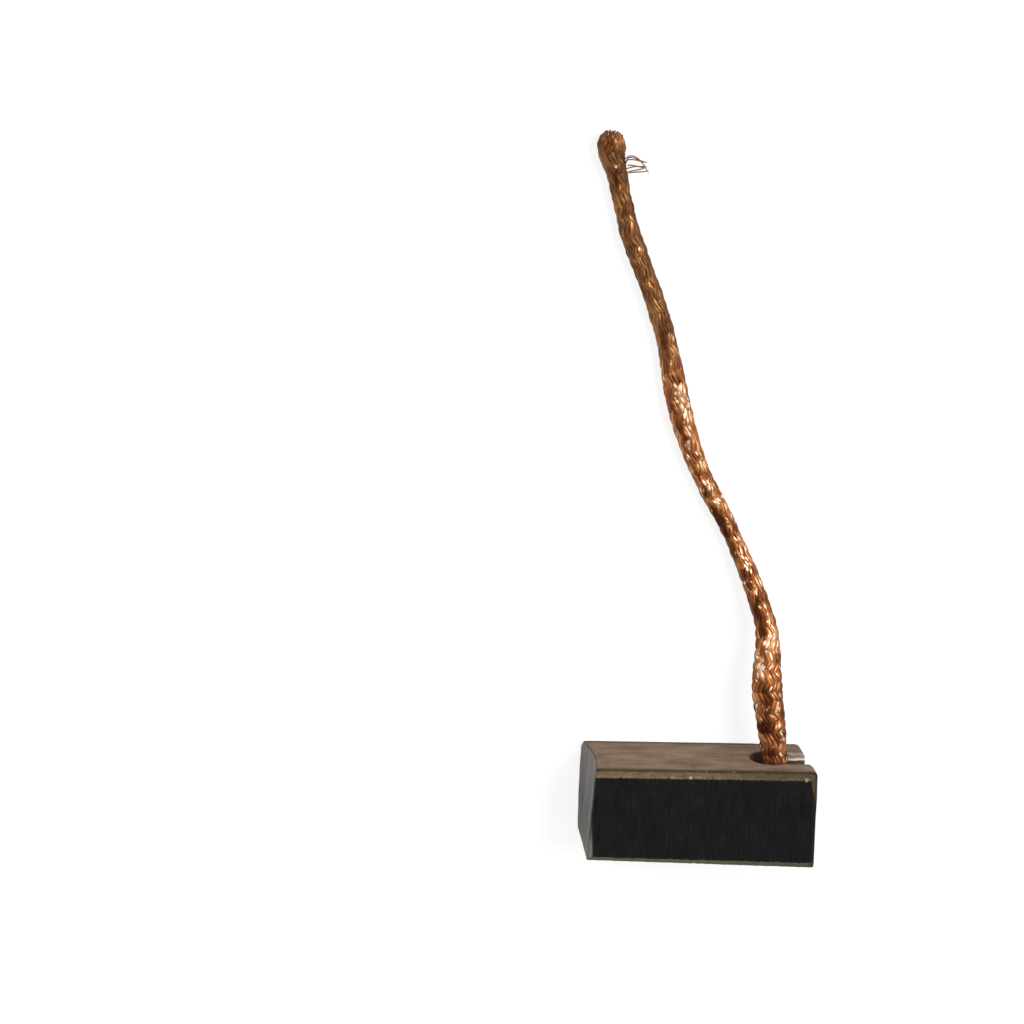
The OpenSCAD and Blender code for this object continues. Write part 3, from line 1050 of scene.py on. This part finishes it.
class BRUSH_OT_camera(bpy.types.Operator):
    """Set the camera above the brush, a little beyond the pigtail and tilted down"""
    bl_idname = "brush.camera"
    bl_label = "Camera"

    BACK = (-0.0985, 0.2791, 0.9552)  # from the brush to the camera
    ROLL = math.radians(-2.739)  # its turn about that line
    TARGET = (-0.02009, 0.02918, 0.0)  # where that line meets the surface

    def execute(self, context):
        stage = context.scene.brush_stage
        back = unit(np.array(self.BACK))
        right = unit(np.cross([math.sin(self.ROLL), math.cos(self.ROLL), 0.0], back))
        data = bpy.data.cameras.new("view")
        data.lens, data.sensor_width = stage.lens, 36.0
        data.clip_start, data.clip_end = 0.01, 10.0
        camera = bpy.data.objects.new("view", data)
        aim(camera, self.TARGET + back * stage.distance, right, back)
        context.scene.camera = camera
        return {"FINISHED"}


class BRUSH_OT_stage(bpy.types.Operator):
    """Lay the pale floor and hang the soft lamps"""
    bl_idname = "brush.stage"
    bl_label = "Stage"

    GAP = 0.00002  # between the floor and what lies on it
    ROWS = 9  # points along a side of the floor

    def execute(self, context):
        stage = context.scene.brush_stage
        context.scene.view_settings.view_transform = "Standard"
        t = np.linspace(-stage.floor_size / 2, stage.floor_size / 2, self.ROWS)
        x, y = np.meshgrid(t, t, indexing="ij")
        points = np.stack([x, y, np.full_like(x, -self.GAP)], -1).reshape(-1, 3)
        n = np.arange(x.size).reshape(x.shape)
        quads = np.stack([n[:-1, :-1], n[1:, :-1], n[1:, 1:], n[:-1, 1:]], -1).reshape(-1, 4)
        make_piece("floor", points, quads, self.floor_finish())
        self.sky(context)
        self.lamp("key", (0.4, 0.3, 0.7), 0.45, 4.6)
        self.lamp("fill", (-0.45, 0.5, 0.6), 0.7, 1.9)
        return {"FINISHED"}

    @staticmethod
    def floor_finish():
        """Matt white paper that lights the brush as paper does. The camera sees a dimmer
        one with a glow of its own, which keeps a soft shadow and looks white."""
        r = Recipe("paper")
        r.feed(r.shader.inputs["Roughness"], 0.9)
        r.feed(r.shader.inputs["Base Color"], (0.8, 0.8, 0.8, 1))
        dimmed = r.add("ShaderNodeBsdfDiffuse", {"Color": (0.35, 0.35, 0.35, 1)})[0]
        glow = r.add("ShaderNodeEmission", {"Color": (1, 1, 1, 1), "Strength": 0.76})[0]
        seen = r.add("ShaderNodeLightPath")["Is Camera Ray"]
        both = r.add("ShaderNodeAddShader", {0: dimmed, 1: glow})[0]
        picked = r.add("ShaderNodeMixShader", {0: seen, 1: r.shader.outputs[0], 2: both})[0]
        r.feed(r.tree.nodes["Material Output"].inputs["Surface"], picked)
        return r.owner

    @staticmethod
    def sky(context):
        """An even white surround, plain white to the camera and dimmer as light."""
        r = Recipe("surround", "worlds")
        context.scene.world = r.owner
        seen = r.add("ShaderNodeLightPath")["Is Camera Ray"]
        ground = r.tree.nodes["Background"].inputs
        r.feed(ground["Color"], (1, 1, 1, 1))
        r.feed(ground["Strength"], r.add("ShaderNodeMapRange", {
            "Value": seen, "To Min": 0.46, "To Max": 1.0})["Result"])

    @staticmethod
    def lamp(name, place, size, power):
        """A square soft lamp aimed at the brush."""
        data = bpy.data.lights.new(name, "AREA")
        data.size, data.energy = size, power
        back = unit(np.array(place) - np.array([0.0, 0.02, 0.0]))
        right = unit(np.cross([0.0, 1.0, 0.0], back))
        aim(bpy.data.objects.new(name, data), place, right, back)


class BRUSH_PT_panel(bpy.types.Panel):
    """Lists the brush's sizes, colours and building steps"""
    bl_idname = "BRUSH_PT_panel"
    bl_label = "Carbon brush"
    bl_space_type = "VIEW_3D"
    bl_region_type = "UI"
    bl_category = "Carbon brush"

    def draw(self, context):
        for operator in STEPS:
            self.layout.operator(operator.bl_idname)
        for holder in ("brush_block", "brush_pigtail", "brush_finishes", "brush_stage"):
            box = self.layout.box()
            group = getattr(context.scene, holder)
            for name in group.__annotations__:
                box.prop(group, name)


GROUPS = {
    "brush_block": BrushBlockSizes,
    "brush_pigtail": BrushPigtailSizes,
    "brush_finishes": BrushFinishes,
    "brush_stage": BrushStageSizes,
}
STEPS = (BRUSH_OT_camera, BRUSH_OT_pigtail, BRUSH_OT_block, BRUSH_OT_powder, BRUSH_OT_stage)


def register():
    for cls in (*GROUPS.values(), *STEPS, BRUSH_PT_panel):
        bpy.utils.register_class(cls)
    for name, group in GROUPS.items():
        setattr(bpy.types.Scene, name, PointerProperty(type=group))


def unregister():
    for name in GROUPS:
        delattr(bpy.types.Scene, name)
    for cls in (BRUSH_PT_panel, *reversed(STEPS), *reversed(GROUPS.values())):
        bpy.utils.unregister_class(cls)


def main():
    """Builds the whole brush."""
    register()
    bpy.ops.brush.camera()
    bpy.ops.brush.pigtail()
    bpy.ops.brush.block()
    bpy.ops.brush.powder()
    bpy.ops.brush.stage()


if __name__ == "__main__":
    main()
